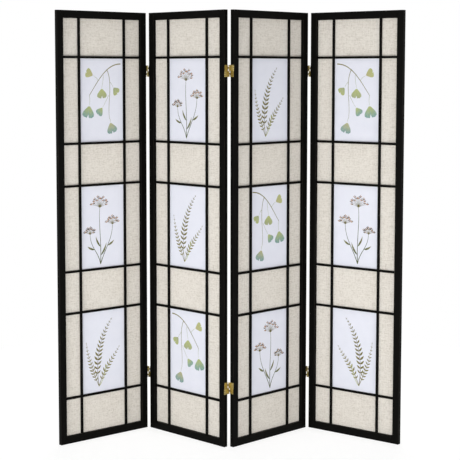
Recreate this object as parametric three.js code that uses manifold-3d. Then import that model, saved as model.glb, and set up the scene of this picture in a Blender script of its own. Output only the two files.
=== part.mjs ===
/**
 * A four-panel shoji folding screen, standing in a zigzag.
 *
 * Millimetres, +Z up, front faces towards -Y. Each panel is built in its own frame: x runs along
 * the panel from its left end, y from the front face to the back, z up from the floor. A panel is
 * two full-height stiles with two rails tenoned between them. A lattice of thin bars is housed in
 * that frame, three print cards lie behind its tall middle cells, and one fabric shade runs in a
 * groove behind them. The panels hang on two-way hinges: a leaf on each stile's edge, and two
 * links that cross from the front of one leaf to the back of the other.
 */
import * as THREE from 'three';
import { mergeVertices } from 'three/addons/utils/BufferGeometryUtils.js';
import Module from 'manifold-3d';

const wasm = await Module();
wasm.setup();

// ---------------------------------------------------------------------------------------------
// Driving dimensions
// ---------------------------------------------------------------------------------------------

// Panel frame
const panelCount = 4;
const panelWidth = 445;
const panelHeight = 1785;
const frameThickness = 19;
const stileWidth = 29;
const railWidth = 31.5;
const easing = 1; // flat taken off each long edge of the stiles and rails
const tenonLength = 16;
const tenonThickness = 7;
const tenonShoulder = 8; // wood left above and below a rail's tenon

// Lattice: two upright bars and six cross bars
const barWidth = 9.6;
const barDepth = 8;
const barRecess = 5.6; // from the frame's front face back to the bars
const barHousing = 4; // how far a bar's end enters the frame
const sideCellWidth = 75.5; // clear width of the two narrow columns
const tallCellHeight = 343.6; // clear height of the three tall rows
const shortCellHeight = 164.3; // clear height of the two short rows between them

// Shade and prints
const shadeThickness = 0.6;
const shadeEntry = 5; // how far the shade's edge enters the groove
const printThickness = 0.4;
const printLap = 3.5; // how far a card's edge lies behind the bars

// Two-way hinges
const hingeInset = 245; // from a panel's top or foot to a hinge's middle
const hingeHeight = 48;
const leafThickness = 1.2;
const pinOffset = 4.8; // pin axis beyond the stile's edge
const pinProud = 2.8; // pin axis in front of the front face, or behind the back face
const pinRadius = 1.2;
const knuckleRadius = 2.4;
const armThickness = 1.8;
const linkThickness = 1.4;
const roundSides = 12;

// How the screen stands: the first panel's bearing from +X, then the turn at each pair of hinges.
// A turn below zero folds two front faces together, a turn above zero two back faces.
const firstBearing = 39.6;
const foldTurns = [-84.1, 88.5, -81.9];

// Clearance between pieces that touch
const fitGap = 0.3;

// ---------------------------------------------------------------------------------------------
// Sizes that follow
// ---------------------------------------------------------------------------------------------

const openingWidth = panelWidth - 2 * stileWidth;
const middleCellWidth = openingWidth - 2 * (sideCellWidth + barWidth);
const latticeBack = barRecess + barDepth;
const printFront = latticeBack + fitGap;
const shadeFront = printFront + printThickness + fitGap;
const shadeBack = shadeFront + shadeThickness;
const grooveDepth = shadeEntry + fitGap;

const uprightCentres = [-1, 1].map(
  (side) => panelWidth / 2 + (side * (middleCellWidth + barWidth)) / 2,
);
const tallRowCentres = [-1, 0, 1].map(
  (row) => panelHeight / 2 + row * (tallCellHeight + shortCellHeight + 2 * barWidth),
);
const crossCentres = tallRowCentres.flatMap((centre) =>
  [-1, 1].map((side) => centre + (side * (tallCellHeight + barWidth)) / 2),
);

// ---------------------------------------------------------------------------------------------
// Materials
// ---------------------------------------------------------------------------------------------

const lacquer = new THREE.MeshStandardMaterial({ color: 0x1b1a18, roughness: 0.42, metalness: 0 });
const shadeCloth = new THREE.MeshStandardMaterial({ color: 0xd7d0c3, roughness: 0.95, metalness: 0 });
const printCard = new THREE.MeshStandardMaterial({ color: 0xe2e3ee, roughness: 0.85, metalness: 0 });
const brass = new THREE.MeshStandardMaterial({ color: 0xb9965a, roughness: 0.32, metalness: 1 });

// ---------------------------------------------------------------------------------------------
// Solids
// ---------------------------------------------------------------------------------------------

/** A closed geometry as a solid that can be joined and cut. */
function toSolid(geometry) {
  geometry.deleteAttribute('normal');
  geometry.deleteAttribute('uv');
  const merged = mergeVertices(geometry);
  return new wasm.Manifold(
    new wasm.Mesh({
      numProp: 3,
      vertProperties: Float32Array.from(merged.attributes.position.array),
      triVerts: Uint32Array.from(merged.index.array),
    }),
  );
}

/** A solid as a geometry for a mesh. */
function toGeometry(solid) {
  const { vertProperties, triVerts } = solid.getMesh();
  const geometry = new THREE.BufferGeometry();
  geometry.setAttribute('position', new THREE.BufferAttribute(vertProperties, 3));
  geometry.setIndex(new THREE.BufferAttribute(triVerts, 1));
  geometry.computeVertexNormals();
  return geometry;
}

const join = (solids) => solids.reduce((whole, solid) => whole.add(solid));
const cut = (solid, tools) => tools.reduce((rest, tool) => rest.subtract(tool), solid);

/** A block between two values on each axis. */
function block([x0, x1], [y0, y1], [z0, z1]) {
  const geometry = new THREE.BoxGeometry(x1 - x0, y1 - y0, z1 - z0);
  geometry.translate((x0 + x1) / 2, (y0 + y1) / 2, (z0 + z1) / 2);
  return toSolid(geometry);
}

/** An upright cylinder about the point x, y. */
function upright(radius, x, y, [z0, z1]) {
  const geometry = new THREE.CylinderGeometry(radius, radius, z1 - z0, roundSides);
  geometry.rotateX(Math.PI / 2);
  geometry.translate(x, y, (z0 + z1) / 2);
  return toSolid(geometry);
}

/** A rectangle from the origin with its four corners taken off. */
function easedRectangle(width, height) {
  const shape = new THREE.Shape();
  shape.moveTo(easing, 0);
  shape.lineTo(width - easing, 0);
  shape.lineTo(width, easing);
  shape.lineTo(width, height - easing);
  shape.lineTo(width - easing, height);
  shape.lineTo(easing, height);
  shape.lineTo(0, height - easing);
  shape.lineTo(0, easing);
  return shape;
}

/** A range widened by the fit gap at both ends. */
const loosened = ([low, high]) => [low - fitGap, high + fitGap];

/** A range of a given size about its middle. */
const about = (centre, size) => [centre - size / 2, centre + size / 2];

/** A range seen from the other end of a length. */
const mirrored = ([low, high], length) => [length - high, length - low];

// ---------------------------------------------------------------------------------------------
// Frame: stiles and rails
// ---------------------------------------------------------------------------------------------

const barDepthRange = [barRecess, latticeBack];
const grooveRange = loosened([shadeFront, shadeBack]);
const tenonDepthRange = about(frameThickness / 2, tenonThickness);
const tenonHeightRange = [tenonShoulder, railWidth - tenonShoulder];

/** One stile with its mortises, its bar housings and the shade's groove in its inner edge. */
function stileGeometry(isLeft) {
  const outline = easedRectangle(stileWidth, frameThickness);
  const plank = new THREE.ExtrudeGeometry(outline, { depth: panelHeight, bevelEnabled: false });
  const inward = (depth) => {
    const range = [stileWidth - depth, stileWidth + fitGap];
    return isLeft ? range : mirrored(range, stileWidth);
  };
  const mortises = [tenonHeightRange, mirrored(tenonHeightRange, panelHeight)].map((range) =>
    block(inward(tenonLength + fitGap), loosened(tenonDepthRange), loosened(range)),
  );
  const housings = crossCentres.map((centre) =>
    block(inward(barHousing + fitGap), loosened(barDepthRange), loosened(about(centre, barWidth))),
  );
  const grooveHeight = panelHeight - 2 * (railWidth - grooveDepth);
  const groove = block(inward(grooveDepth), grooveRange, about(panelHeight / 2, grooveHeight));
  return toGeometry(cut(toSolid(plank), [...mortises, ...housings, groove]));
}

/** One rail with its two tenons, its bar housings and the shade's groove in its inner edge. */
function railGeometry(isTop) {
  const bodyRange = [stileWidth + fitGap, panelWidth - stileWidth - fitGap];
  const outline = easedRectangle(frameThickness, railWidth);
  const plank = new THREE.ExtrudeGeometry(outline, {
    depth: bodyRange[1] - bodyRange[0],
    bevelEnabled: false,
  });
  const turn = new THREE.Matrix4().makeBasis(
    new THREE.Vector3(0, 1, 0),
    new THREE.Vector3(0, 0, 1),
    new THREE.Vector3(1, 0, 0),
  );
  plank.applyMatrix4(turn);
  plank.translate(bodyRange[0], 0, 0);
  const tenonReach = [stileWidth - tenonLength, panelWidth - stileWidth + tenonLength];
  const tenons = block(tenonReach, tenonDepthRange, tenonHeightRange);
  const inward = (depth) => {
    const range = [railWidth - depth, railWidth + fitGap];
    return isTop ? mirrored(range, railWidth) : range;
  };
  const housings = uprightCentres.map((centre) =>
    block(loosened(about(centre, barWidth)), loosened(barDepthRange), inward(barHousing + fitGap)),
  );
  const groove = block(loosened(bodyRange), grooveRange, inward(grooveDepth));
  return toGeometry(cut(join([toSolid(plank), tenons]), [...housings, groove]));
}

// ---------------------------------------------------------------------------------------------
// Infill: lattice, shade and prints
// ---------------------------------------------------------------------------------------------

/** The lattice, its bars half-lapped and glued where they cross. */
function latticeGeometry() {
  const barReach = (inset, length) => [inset - barHousing, length - inset + barHousing];
  const uprights = uprightCentres.map((centre) =>
    block(about(centre, barWidth), barDepthRange, barReach(railWidth, panelHeight)),
  );
  const crossBars = crossCentres.map((centre) =>
    block(barReach(stileWidth, panelWidth), barDepthRange, about(centre, barWidth)),
  );
  return toGeometry(join([...uprights, ...crossBars]));
}

/** The fabric shade, stretched between the grooves of the frame. */
function shadeGeometry() {
  const width = openingWidth + 2 * shadeEntry;
  const height = panelHeight - 2 * (railWidth - shadeEntry);
  const across = about(panelWidth / 2, width);
  const up = about(panelHeight / 2, height);
  return toGeometry(block(across, [shadeFront, shadeBack], up));
}

/** One print card, its edges behind the bars round a tall middle cell. */
function printGeometry() {
  const across = about(panelWidth / 2, middleCellWidth + 2 * printLap);
  const up = about(0, tallCellHeight + 2 * printLap);
  return toGeometry(block(across, [printFront, printFront + printThickness], up));
}

// ---------------------------------------------------------------------------------------------
// Hinges
// ---------------------------------------------------------------------------------------------

const frontPin = -pinProud;
const backPin = frameThickness + pinProud;
const linkHeight = (hingeHeight - fitGap) / 2;
const knuckleLength = (linkHeight - 2 * fitGap) / 3;

// Heights in one link, from its foot: knuckles of the link below and above one knuckle of a leaf
const lowerKnuckle = [0, knuckleLength];
const middleKnuckle = about(linkHeight / 2, knuckleLength);
const upperKnuckle = [linkHeight - knuckleLength, linkHeight];

// Foot of the upper link and of the lower link, from the hinge's middle
const upperLinkFoot = fitGap / 2;
const lowerLinkFoot = -fitGap / 2 - linkHeight;

/**
 * A leaf: a plate on a stile's edge with one knuckle at the front and one at the back. The side is
 * 1 at a panel's right end and -1 at its left end, and x runs from the stile's edge. A right-hand
 * end has its front knuckle on the lower link and its back knuckle on the upper one, and a
 * left-hand end the other way about.
 */
function leafGeometry(side) {
  const outward = (near, far) => (side > 0 ? [near, far] : [-far, -near]);
  const plateRange = outward(fitGap, fitGap + leafThickness);
  const plate = block(plateRange, [0, frameThickness], about(0, hingeHeight));
  const links = side > 0 ? [lowerLinkFoot, upperLinkFoot] : [upperLinkFoot, lowerLinkFoot];
  const solids = [plate];
  const bores = [];
  [frontPin, backPin].forEach((pinY, index) => {
    const height = middleKnuckle.map((z) => z + links[index]);
    const wristY = pinY < 0 ? [pinY - armThickness / 2, 0] : [frameThickness, pinY + armThickness / 2];
    solids.push(block(plateRange, wristY, height));
    solids.push(block(outward(fitGap, pinOffset), about(pinY, armThickness), height));
    solids.push(upright(knuckleRadius, side * pinOffset, pinY, height));
    bores.push(upright(pinRadius + fitGap, side * pinOffset, pinY, loosened(height)));
  });
  return toGeometry(cut(join(solids), bores));
}

/** A link: a plate with two knuckles and their pin at its front edge, and the same at its back. */
function linkGeometry() {
  const plateX = about(0, linkThickness);
  const clearOfLeaf = knuckleRadius + 2 * fitGap;
  const solids = [block(plateX, [frontPin + clearOfLeaf, backPin - clearOfLeaf], [0, linkHeight])];
  for (const height of [lowerKnuckle, upperKnuckle]) {
    solids.push(block(plateX, [frontPin, backPin], height));
    solids.push(upright(knuckleRadius, 0, frontPin, height));
    solids.push(upright(knuckleRadius, 0, backPin, height));
  }
  solids.push(upright(pinRadius, 0, frontPin, [0, linkHeight]));
  solids.push(upright(pinRadius, 0, backPin, [0, linkHeight]));
  return toGeometry(join(solids));
}

// ---------------------------------------------------------------------------------------------
// Assembly
// ---------------------------------------------------------------------------------------------

/** Adds a named mesh to a group at a place. */
function place(group, name, geometry, material, x = 0, y = 0, z = 0) {
  const mesh = new THREE.Mesh(geometry, material);
  mesh.name = name;
  mesh.position.set(x, y, z);
  group.add(mesh);
}

const stiles = { left: stileGeometry(true), right: stileGeometry(false) };
const rails = { top: railGeometry(true), bottom: railGeometry(false) };
const lattice = latticeGeometry();
const shade = shadeGeometry();
const print = printGeometry();
const leaves = { left: leafGeometry(1), right: leafGeometry(-1) };
const link = linkGeometry();

/** The frame and infill of one panel. */
function makePanel(number) {
  const panel = new THREE.Group();
  const name = (piece) => `panel_${number}_${piece}`;
  place(panel, name('left_stile'), stiles.left, lacquer);
  place(panel, name('right_stile'), stiles.right, lacquer, panelWidth - stileWidth);
  place(panel, name('top_rail'), rails.top, lacquer, 0, 0, panelHeight - railWidth);
  place(panel, name('bottom_rail'), rails.bottom, lacquer);
  place(panel, name('lattice'), lattice, lacquer);
  place(panel, name('shade'), shade, shadeCloth);
  ['lower', 'middle', 'upper'].forEach((row, index) => {
    place(panel, name(`print_${row}`), print, printCard, 0, 0, tallRowCentres[index]);
  });
  return panel;
}

/**
 * The two hinges between two panels. Where the front faces fold together, the upper link keeps to
 * the left panel and the lower link to the right panel, and where the back faces do, the other way
 * about.
 */
function hangHinges(left, right, pairName, foldsForward) {
  const atLeftPanel = [left, panelWidth + pinOffset];
  const atRightPanel = [right, -pinOffset];
  const [upperPanel, upperX] = foldsForward ? atLeftPanel : atRightPanel;
  const [lowerPanel, lowerX] = foldsForward ? atRightPanel : atLeftPanel;
  for (const [level, z] of [['top', panelHeight - hingeInset], ['bottom', hingeInset]]) {
    const name = (piece) => `hinge_${pairName}_${level}_${piece}`;
    place(left, name('left_leaf'), leaves.left, brass, panelWidth, 0, z);
    place(right, name('right_leaf'), leaves.right, brass, 0, 0, z);
    place(upperPanel, name('upper_link'), link, brass, upperX, 0, z + upperLinkFoot);
    place(lowerPanel, name('lower_link'), link, brass, lowerX, 0, z + lowerLinkFoot);
  }
}

/** Joins a panel to the one before it, turned about the pins on the side that folds together. */
function joinPanels(left, right, number) {
  const turn = foldTurns[number - 1];
  const foldsForward = turn < 0;
  const pinY = foldsForward ? frontPin : backPin;
  const pivot = new THREE.Group();
  pivot.name = `pivot_${number}_${number + 1}`;
  pivot.position.set(panelWidth + pinOffset, pinY, 0);
  pivot.rotation.z = THREE.MathUtils.degToRad(turn);
  right.position.set(pinOffset, -pinY, 0);
  pivot.add(right);
  left.add(pivot);
  hangHinges(left, right, `${number}_${number + 1}`, foldsForward);
}

/** The whole screen, the middle of its footprint over the origin. */
function makeScreen() {
  const panels = Array.from({ length: panelCount }, (_, index) => makePanel(index + 1));
  for (let number = 1; number < panelCount; number += 1) {
    joinPanels(panels[number - 1], panels[number], number);
  }
  panels[0].rotation.z = THREE.MathUtils.degToRad(firstBearing);
  const screen = new THREE.Group();
  screen.add(panels[0]);
  const centre = new THREE.Box3().setFromObject(screen, true).getCenter(new THREE.Vector3());
  screen.position.set(-centre.x, -centre.y, 0);
  return screen;
}

export default makeScreen();
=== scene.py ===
"""The looks of a four-panel shoji folding screen.

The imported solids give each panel's place. Every piece is made again here in finer detail: stiles
and rails with rounded arrises, mortises, tenons, housings and grooves, lattice bars lapped over
each other, woven shades, print cards with a raised line design, and brass two-way hinges with
their screws. Metres, +Z up, front faces towards -Y.
"""

from __future__ import annotations

import logging
import math
from dataclasses import dataclass, field, replace
from enum import Enum
from typing import Mapping, Optional, Sequence, Tuple, Union

import bpy
import numpy as np
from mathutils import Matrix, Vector
from numpy.typing import NDArray


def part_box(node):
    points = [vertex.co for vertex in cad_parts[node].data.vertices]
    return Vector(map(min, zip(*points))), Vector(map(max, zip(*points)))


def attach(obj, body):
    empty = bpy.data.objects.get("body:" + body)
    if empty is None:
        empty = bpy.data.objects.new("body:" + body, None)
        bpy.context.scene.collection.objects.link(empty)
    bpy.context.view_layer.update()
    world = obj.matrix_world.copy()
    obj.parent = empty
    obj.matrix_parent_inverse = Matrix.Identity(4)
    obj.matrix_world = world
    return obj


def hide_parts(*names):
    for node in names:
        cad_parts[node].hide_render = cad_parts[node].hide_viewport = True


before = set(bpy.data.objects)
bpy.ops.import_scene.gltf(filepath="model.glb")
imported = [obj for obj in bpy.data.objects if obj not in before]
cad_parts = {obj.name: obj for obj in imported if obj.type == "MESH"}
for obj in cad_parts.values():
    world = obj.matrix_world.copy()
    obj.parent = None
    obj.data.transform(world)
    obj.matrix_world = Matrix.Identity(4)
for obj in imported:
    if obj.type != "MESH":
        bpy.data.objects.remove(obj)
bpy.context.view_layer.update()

log = logging.getLogger("screen")

Array = NDArray[np.float64]
Pair = Tuple[float, float]
Triple = Tuple[float, float, float]
Colour = Triple
Key = Union[int, str]

UV_NAME = "grain"
# Edge attribute: real rubbing wear, which on the lacquer also places a painted highlight along the
# arrises.
WEAR_AND_HIGHLIGHT_NAME = "wear_and_highlight"
TINT_NAME = "tint"
SHARP_ANGLE = math.radians(32)
WELD_DIGITS = 8
QUARTER = math.pi / 2
ALONG: Triple = (1.0, 0.0, 0.0)
BACK: Triple = (0.0, 1.0, 0.0)
UP: Triple = (0.0, 0.0, 1.0)


# ---- Sizes and places ----


@dataclass(frozen=True)
class Sizes:
    """Sizes of a panel and its hinges in metres, the same as the solids'."""

    panel_width: float = 0.445
    panel_height: float = 1.785
    thickness: float = 0.019
    stile_width: float = 0.029
    rail_width: float = 0.0315
    tenon_length: float = 0.016
    tenon_thickness: float = 0.007
    tenon_shoulder: float = 0.008
    bar_width: float = 0.0096
    bar_depth: float = 0.008
    bar_recess: float = 0.0056
    bar_housing: float = 0.004
    side_cell_width: float = 0.0755
    tall_cell_height: float = 0.3436
    short_cell_height: float = 0.1643
    shade_thickness: float = 0.0006
    shade_entry: float = 0.005
    print_thickness: float = 0.0004
    print_lap: float = 0.0035
    hinge_inset: float = 0.245
    hinge_height: float = 0.048
    leaf_thickness: float = 0.0012
    pin_offset: float = 0.0048
    pin_proud: float = 0.0028
    pin_radius: float = 0.0012
    knuckle_radius: float = 0.0024
    link_thickness: float = 0.0014
    gap: float = 0.0003

    @property
    def middle_cell_width(self) -> float:
        """Clear width of the middle column of cells."""
        opening = self.panel_width - 2 * self.stile_width
        return opening - 2 * (self.side_cell_width + self.bar_width)

    @property
    def lattice_back(self) -> float:
        """Depth of the bars' back faces behind the frame's front."""
        return self.bar_recess + self.bar_depth

    @property
    def print_front(self) -> float:
        """Depth of the cards' front faces."""
        return self.lattice_back + self.gap

    @property
    def shade_front(self) -> float:
        """Depth of the shade's front face."""
        return self.print_front + self.print_thickness + self.gap

    @property
    def shade_back(self) -> float:
        """Depth of the shade's back face."""
        return self.shade_front + self.shade_thickness

    @property
    def groove_depth(self) -> float:
        """Depth of the shade's groove in the frame's inner edges."""
        return self.shade_entry + self.gap

    @property
    def upright_centres(self) -> Tuple[float, ...]:
        """Middles of the two upright bars, from the panel's left end."""
        reach = (self.middle_cell_width + self.bar_width) / 2
        return tuple(self.panel_width / 2 + side * reach for side in (-1, 1))

    @property
    def row_centres(self) -> Tuple[float, ...]:
        """Middles of the three tall rows, from the floor."""
        step = self.tall_cell_height + self.short_cell_height + 2 * self.bar_width
        return tuple(self.panel_height / 2 + row * step for row in (-1, 0, 1))

    @property
    def cross_centres(self) -> Tuple[float, ...]:
        """Middles of the six cross bars, from the floor."""
        reach = (self.tall_cell_height + self.bar_width) / 2
        return tuple(row + side * reach for row in self.row_centres for side in (-1, 1))

    @property
    def link_height(self) -> float:
        """Height of one hinge link."""
        return (self.hinge_height - self.gap) / 2

    @property
    def knuckle_length(self) -> float:
        """Length of one knuckle, three of which fill a link's height."""
        return (self.link_height - 2 * self.gap) / 3


@dataclass(frozen=True)
class PanelPlace:
    """Where one panel stands: its left front foot, and its directions along and to the back."""

    number: int
    origin: Array
    along: Array
    back: Array

    @classmethod
    def found(cls, number: int, sizes: Sizes) -> PanelPlace:
        """Finds a panel's place from the middles of its two stiles.

        Args:
            number: The panel's number, from 1 at the left.
            sizes: The screen's sizes.

        Returns:
            The place of that panel.
        """
        stiles = [f"panel_{number}_{side}_stile" for side in ("left", "right")]
        ends = [np.mean(np.array(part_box(stile)), axis=0) for stile in stiles]
        step = (ends[1] - ends[0]) * (1, 1, 0)
        along = step / np.linalg.norm(step)
        back = np.cross((0, 0, 1), along)
        origin = ends[0] - along * sizes.stile_width / 2 - back * sizes.thickness / 2
        return cls(number, origin * (1, 1, 0), along, back)

    @property
    def body(self) -> str:
        """The name of the body that the panel's pieces ride on."""
        return f"panel_{self.number}"

    def to_world(self, points: Array) -> Array:
        """Points of the panel's own frame in the screen's frame: origin + x along + y back + z up."""
        return self.origin + points @ np.stack([self.along, self.back, UP])


# ---- Surfaces ----


@dataclass(frozen=True)
class Shell:
    """A closed surface.

    Attributes:
        points: Places of its points, (n, 3).
        quads: Point indices of its four-sided faces, (m, 4). A repeated index makes a triangle.
        quad_places: Texture place of each corner of each quad in metres, (m, 4, 2).
        caps: Point indices of each flat end face.
        cap_places: Texture places of each cap's corners.
        wear_and_highlight: How exposed each point is to rubbing, from 0 to 1; on the lacquer it also
            places a painted highlight on the arrises.
        tint: Colour of each point, for the pieces that have one.
    """

    points: Array
    quads: NDArray[np.int64]
    quad_places: Array
    caps: Tuple[NDArray[np.int64], ...]
    cap_places: Tuple[Array, ...]
    wear_and_highlight: Array
    tint: Array

    def volume(self) -> float:
        """Signed volume: the sum over triangles of p0 . (p1 x p2) / 6, above 0 if faces look out."""
        fans = [self.quads[:, (0, 1, 2)], self.quads[:, (0, 2, 3)]]
        for cap in self.caps:
            fans.append(np.stack([np.full(len(cap) - 2, cap[0]), cap[1:-1], cap[2:]], axis=1))
        first, second, third = np.moveaxis(self.points[np.concatenate(fans)], 1, 0)
        return float(np.einsum("ij,ij->", first, np.cross(second, third)) / 6)

    def outward(self) -> Shell:
        """The same shell with its faces looking out."""
        if self.volume() >= 0:
            return self
        return replace(
            self,
            quads=self.quads[:, ::-1],
            quad_places=self.quad_places[:, ::-1],
            caps=tuple(cap[::-1] for cap in self.caps),
            cap_places=tuple(places[::-1] for places in self.cap_places),
        )

    def carried(self, points: Array) -> Shell:
        """The same shell with its points elsewhere, its faces looking out."""
        return replace(self, points=points).outward()


def ringed(values: NDArray) -> NDArray:
    """A grid with its first column again after its last."""
    return np.concatenate([values, values[:, :1]], axis=1)


def around(loop: Array) -> Array:
    """Distances round a closed loop of points, from its first point back to that point."""
    steps = np.linalg.norm(np.roll(loop, -1, axis=0) - loop, axis=1)
    return np.concatenate([[0.0], np.cumsum(steps)])


def compass(angle: Array) -> Array:
    """Unit vectors at angles: (cos t, sin t)."""
    return np.stack([np.cos(angle), np.sin(angle)], axis=1)


def leftward(path: Array) -> Array:
    """Unit vectors square to a path, on its left: its heading after a quarter turn."""
    heading = np.gradient(path, axis=0)
    heading /= np.linalg.norm(heading, axis=1, keepdims=True)
    return np.stack([-heading[:, 1], heading[:, 0]], axis=1)


def skin(
    grid: Array,
    places: Array,
    wear_and_highlight: Union[float, Array] = 0.0,
    tint: Union[Colour, Array] = (1.0, 1.0, 1.0),
    capped: bool = True,
) -> Shell:
    """A grid of points as a closed skin.

    Rows follow each other along the piece and columns go round it, the last joined to the first.
    Quad (i, j) joins points (i, j), (i, j+1), (i+1, j+1) and (i+1, j).

    Args:
        grid: Points, (rows, columns, 3).
        places: Texture places, (rows, columns + 1, 2), the last column being the first again.
        wear_and_highlight: Wear of each point, or one value; on the lacquer it also places a painted
            highlight.
        tint: Colour of each point, or one colour.
        capped: Whether the first and last rows are each closed by a flat face.

    Returns:
        The shell, its faces looking out.
    """
    rows, columns = grid.shape[:2]
    index = np.arange(rows * columns).reshape(rows, columns)

    def corners(values: NDArray) -> NDArray:
        """The four corner values of each quad, in order round it."""
        ring = (values[:-1, :-1], values[:-1, 1:], values[1:, 1:], values[1:, :-1])
        return np.stack(ring, axis=2)

    caps: Tuple[NDArray[np.int64], ...] = ()
    cap_places: Tuple[Array, ...] = ()
    if capped:
        caps = (index[0, ::-1], index[-1])
        level = np.ptp(grid[0, :, 2]) < 10**-WELD_DIGITS
        flat = grid[..., :2] if level else grid[..., 1:]
        cap_places = (flat[0, ::-1], flat[-1])
    return Shell(
        grid.reshape(-1, 3),
        corners(ringed(index)).reshape(-1, 4),
        corners(places).reshape(-1, 4, 2),
        caps,
        cap_places,
        np.broadcast_to(np.asarray(wear_and_highlight, float), (rows, columns)).reshape(-1),
        np.broadcast_to(np.asarray(tint, float), (rows, columns, 3)).reshape(-1, 3),
    ).outward()


def unrolled(grid: Array, lengthwise: Array) -> Array:
    """Texture places of a skin: the distance round it, and the distance along it.

    Args:
        grid: The skin's points, (rows, columns, 3).
        lengthwise: The distance along the piece of each row.

    Returns:
        Places, (rows, columns + 1, 2).
    """
    widest = grid[int(np.argmax(np.ptp(grid, axis=1).sum(axis=1)))]
    return np.stack(np.meshgrid(around(widest), lengthwise), axis=2)


def slab(
    outline: Array, low: float, high: float, edge: float, order: Tuple[int, int, int]
) -> Shell:
    """A flat plate with eased edges.

    The outline is swept through the plate's thickness, and drawn in by the edge size at both faces.
    A point moves in by edge (n0 + n1) / (1 + n0 . n1), n0 and n1 being its sides' outward normals.

    Args:
        outline: Corners of the plate, (n, 2).
        low: Start of the thickness.
        high: End of the thickness.
        edge: Size of the eased edge.
        order: Which axes hold the outline's first and second values and the thickness.

    Returns:
        The plate.
    """
    ahead = np.roll(outline, -1, axis=0)
    area = np.sum(outline[:, 0] * ahead[:, 1] - outline[:, 1] * ahead[:, 0])
    loop = outline if area > 0 else outline[::-1]
    side = np.roll(loop, -1, axis=0) - loop
    length = np.linalg.norm(side, axis=1, keepdims=True)
    normal = np.stack([side[:, 1], -side[:, 0]], axis=1) / length
    before = np.roll(normal, 1, axis=0)
    mitre = (before + normal) / (1 + np.sum(before * normal, axis=1, keepdims=True))
    insets = np.array([edge, 0.0, 0.0, edge])
    levels = np.array([low, low + edge, high - edge, high])
    flat = loop[None] - mitre[None] * insets[:, None, None]
    grid = np.empty((4, len(loop), 3))
    grid[..., order[:2]] = flat
    grid[..., order[2]] = levels[:, None]
    wear_and_highlight = np.broadcast_to((insets > 0)[:, None] * 1.0, grid.shape[:2])
    return skin(grid, unrolled(grid, levels), wear_and_highlight)


def rounded_rectangle(low: Pair, high: Pair, radius: float, steps: int = 4) -> Array:
    """A rectangle with quarter circles at its corners: corner centre + radius (cos t, sin t)."""
    quarter = compass(np.linspace(0, QUARTER, steps + 1)) * radius
    left, right = low[0] + radius, high[0] - radius
    foot, top = low[1] + radius, high[1] - radius
    centres = np.array([(right, top), (left, top), (left, foot), (right, foot)])
    turns = np.arange(4) * QUARTER
    axes = [[(math.cos(turn), math.sin(turn)), (-math.sin(turn), math.cos(turn))] for turn in turns]
    return np.concatenate([centre + quarter @ np.array(axis) for centre, axis in zip(centres, axes)])


def lathe(profile: Array, centre: Pair, steps: int = 28) -> Shell:
    """A profile of radius and height turned about an upright axis: (x + r cos t, y + r sin t, z).

    Args:
        profile: Radius and height of each point of the profile, a closed loop, (n, 2).
        centre: Place of the axis.
        steps: Number of faces round the axis.

    Returns:
        The turned piece.
    """
    angle = np.linspace(0, 2 * math.pi, steps + 1)[:, None]
    radius, height = profile.T
    grid = np.stack([
        centre[0] + np.cos(angle) * radius,
        centre[1] + np.sin(angle) * radius,
        np.broadcast_to(height, (steps + 1, len(profile))),
    ], axis=2)
    return skin(grid, unrolled(grid, angle[:, 0] * radius.max()), 0.5, capped=False)


def weld(shell: Shell) -> Tuple[Array, list, Array, NDArray[np.int64]]:
    """Joins the points of a shell that share a place, and drops the faces that this empties.

    Args:
        shell: A closed surface, whose grid may run to a point or stand still.

    Returns:
        The points, the faces, the texture place of each face corner, and which points were kept.
    """
    _, kept, joined = np.unique(
        np.round(shell.points, WELD_DIGITS), axis=0, return_index=True, return_inverse=True
    )
    joined = joined.reshape(-1)
    quads = joined[shell.quads]
    same = quads == np.roll(quads, -1, axis=1)
    crossed = (quads[:, 0] == quads[:, 2]) | (quads[:, 1] == quads[:, 3])
    whole, three = ((same.sum(axis=1) == lost) & ~crossed for lost in (0, 1))
    left = ~same & three[:, None]
    faces = quads[whole].tolist() + quads[left].reshape(-1, 3).tolist()
    places = [shell.quad_places[whole].reshape(-1, 2), shell.quad_places[left]]
    for cap, cap_places in zip(shell.caps, shell.cap_places):
        ring = joined[cap]
        keep = ring != np.roll(ring, -1)
        if len(np.unique(ring)) > 2:
            faces.append(ring[keep].tolist())
            places.append(cap_places[keep])
    return shell.points[kept], faces, np.concatenate(places), kept


# ---- Shader maths ----


class Signal:
    """One output of a shader node. Sums and products of signals and numbers add their Math nodes."""

    def __init__(self, bench: Bench, socket: bpy.types.NodeSocket) -> None:
        """Holds the bench that the node stands on, and the socket."""
        self.bench = bench
        self.socket = socket

    def _math(self, operation: str, first: Operand, second: Operand, clamp: bool = False) -> Signal:
        """Adds one Math node and returns its value."""
        settings = {"operation": operation, "use_clamp": clamp}
        return self.bench.node("ShaderNodeMath", settings, {0: first, 1: second})

    def __add__(self, other: Operand) -> Signal:
        """This plus another value."""
        return self._math("ADD", self, other)

    def __radd__(self, other: Operand) -> Signal:
        """Another value plus this."""
        return self._math("ADD", other, self)

    def __sub__(self, other: Operand) -> Signal:
        """This less another value."""
        return self._math("SUBTRACT", self, other)

    def __rsub__(self, other: Operand) -> Signal:
        """Another value less this."""
        return self._math("SUBTRACT", other, self)

    def __mul__(self, other: Operand) -> Signal:
        """This times another value."""
        return self._math("MULTIPLY", self, other)

    def __rmul__(self, other: Operand) -> Signal:
        """Another value times this."""
        return self._math("MULTIPLY", other, self)


    def larger(self, other: Operand) -> Signal:
        """The larger of this and another value."""
        return self._math("MAXIMUM", self, other)

    def wave(self) -> Signal:
        """The sine of this."""
        return self._math("SINE", self, 0.0)

    def clipped(self) -> Signal:
        """This kept from 0 to 1."""
        return self._math("MULTIPLY", self, 1.0, clamp=True)

    def output(self, name: str) -> Signal:
        """Another output of the same node."""
        return Signal(self.bench, self.socket.node.outputs[name])


Operand = Union[Signal, int, float]


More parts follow.
